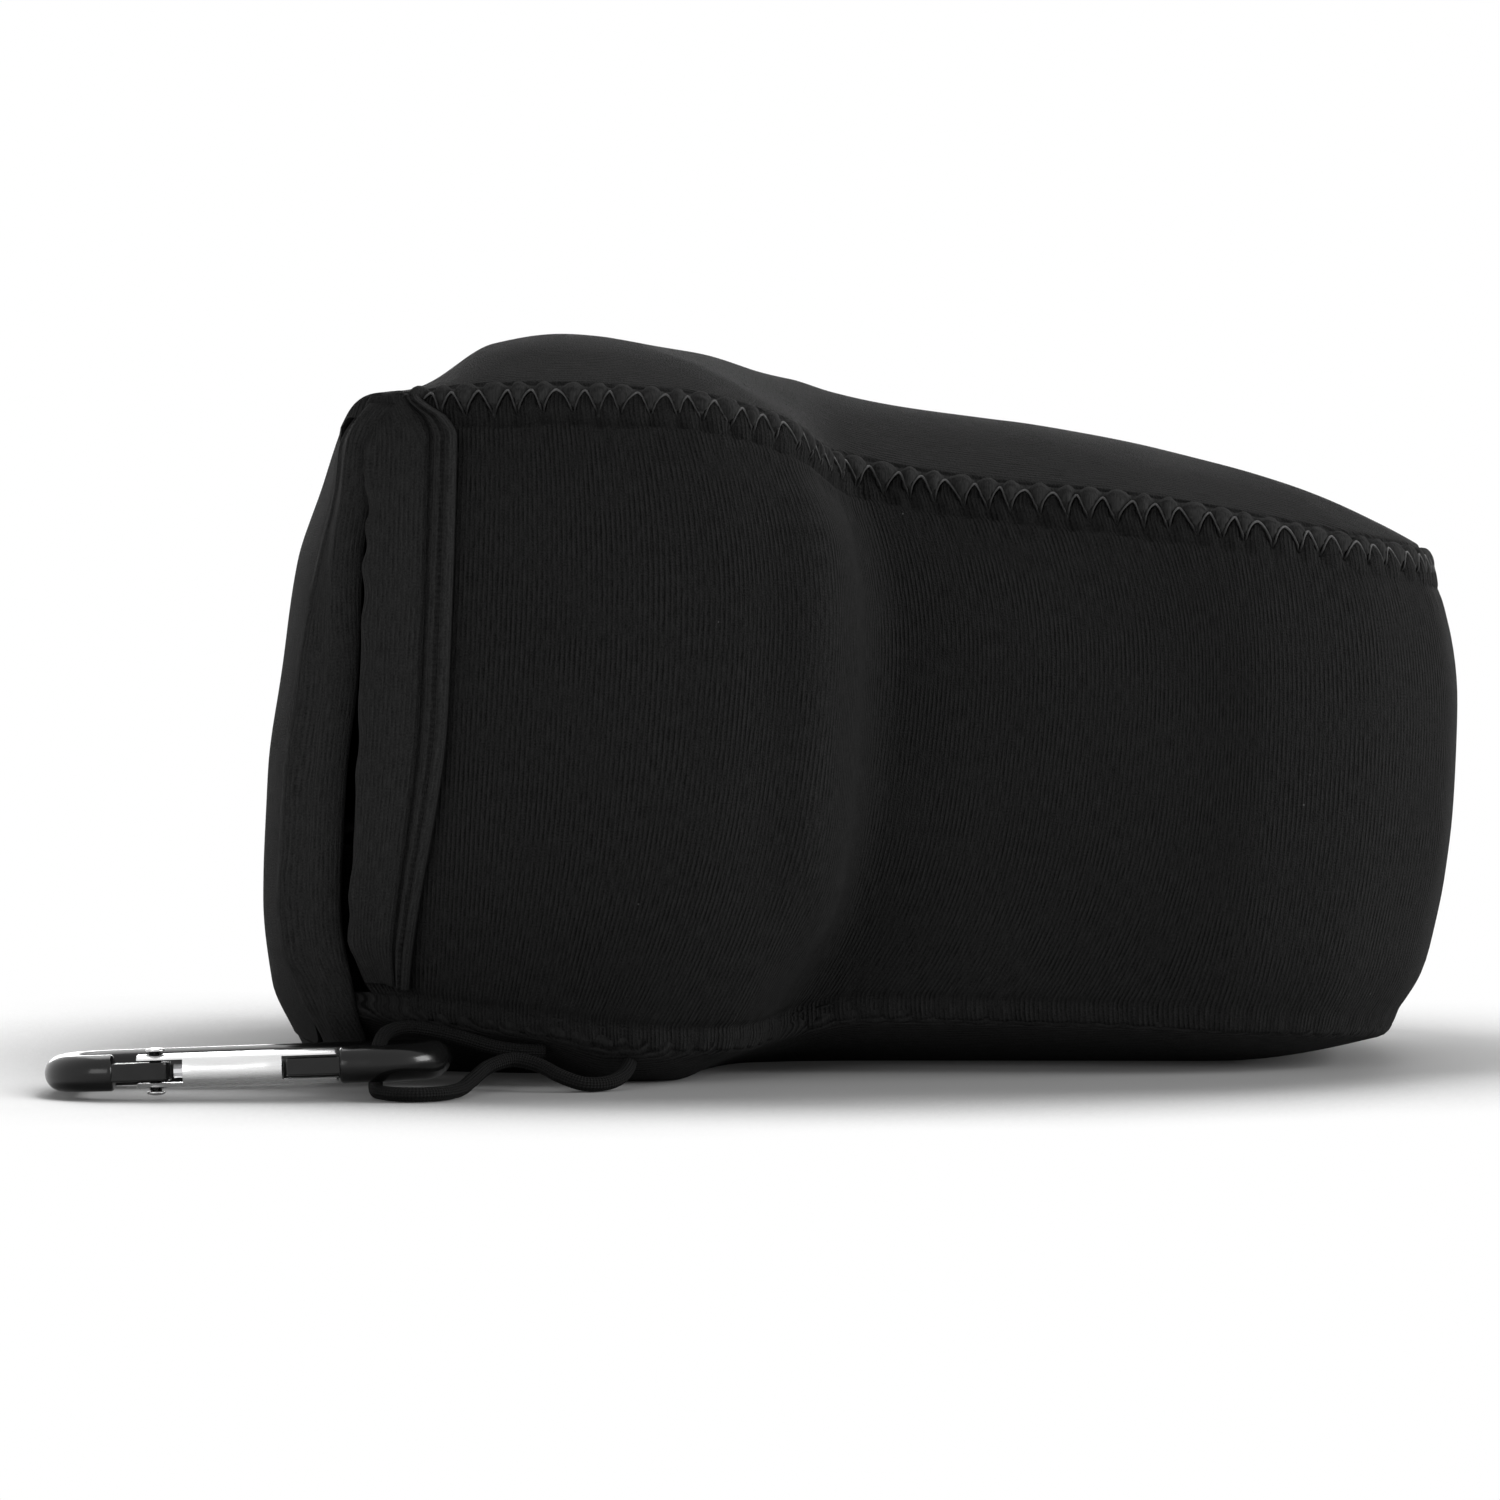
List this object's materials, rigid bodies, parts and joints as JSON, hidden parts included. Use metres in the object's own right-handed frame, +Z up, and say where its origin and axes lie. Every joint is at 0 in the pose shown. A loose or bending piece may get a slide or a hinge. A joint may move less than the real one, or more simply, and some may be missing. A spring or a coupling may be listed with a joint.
{
  "type": "camera case",
  "caption": "Soft neoprene camera pouch with a lens nose, a rear flap that lifts, and a small carabiner on a cord loop.",
  "frame": {"origin": "under the middle of the case, on the surface that it stands on", "axes": "+X along the case towards the lens end, +Z up, -Y the side with the cord loop and carabiner"},
  "size_m": [0.1837, 0.1478, 0.0967],
  "materials": {
    "neoprene": "matte knit-faced neoprene, fine ribs",
    "knit_binding": "matte coarse knit strip",
    "closure": "black hook and loop pile",
    "cord": "matte braided cord",
    "black_metal": "glossy black coating",
    "aluminium": "satin, lightly drawn",
    "steel": "plain rivet steel"
  },
  "bodies": {
    "case": {"side_band": "neoprene", "top_panel": "neoprene", "bottom_panel": "neoprene", "near_edge_binding": "knit_binding", "far_edge_binding": "knit_binding", "lip_binding": "knit_binding", "lip_loop_strip": "closure", "cord_loop": "cord"},
    "flap": {"flap_cover": "neoprene", "rear_flap": "neoprene", "flap_edge_binding": "knit_binding", "flap_hook_strip": "closure"},
    "carabiner": {"carabiner_body": "black_metal", "gate_rivet": "steel"},
    "gate": {"carabiner_gate": "aluminium", "gate_spring": "steel", "gate_plunger": "steel"}
  },
  "joints": [
    {"name": "flap_lift", "type": "hinge", "parent": "case", "child": "flap", "pos_m": [-0.0656, 0, 0.0881], "axis": [0, 1, 0], "range_deg": [0, 115]},
    {"name": "carabiner_swing", "type": "hinge", "parent": "case", "child": "carabiner", "pos_m": [-0.0619, -0.0655, 0.0042], "axis": [0, 0, 1], "range_deg": [-8, 35]},
    {"name": "gate_open", "type": "hinge", "parent": "carabiner", "child": "gate", "pos_m": [-0.08919, -0.07571, 0.00356], "axis": [-0.0349, 0.0453, 0.9984], "range_deg": [0, 30], "stiffness_Nm_per_rad": 0.05, "springref_deg": -17.19}
  ]
}
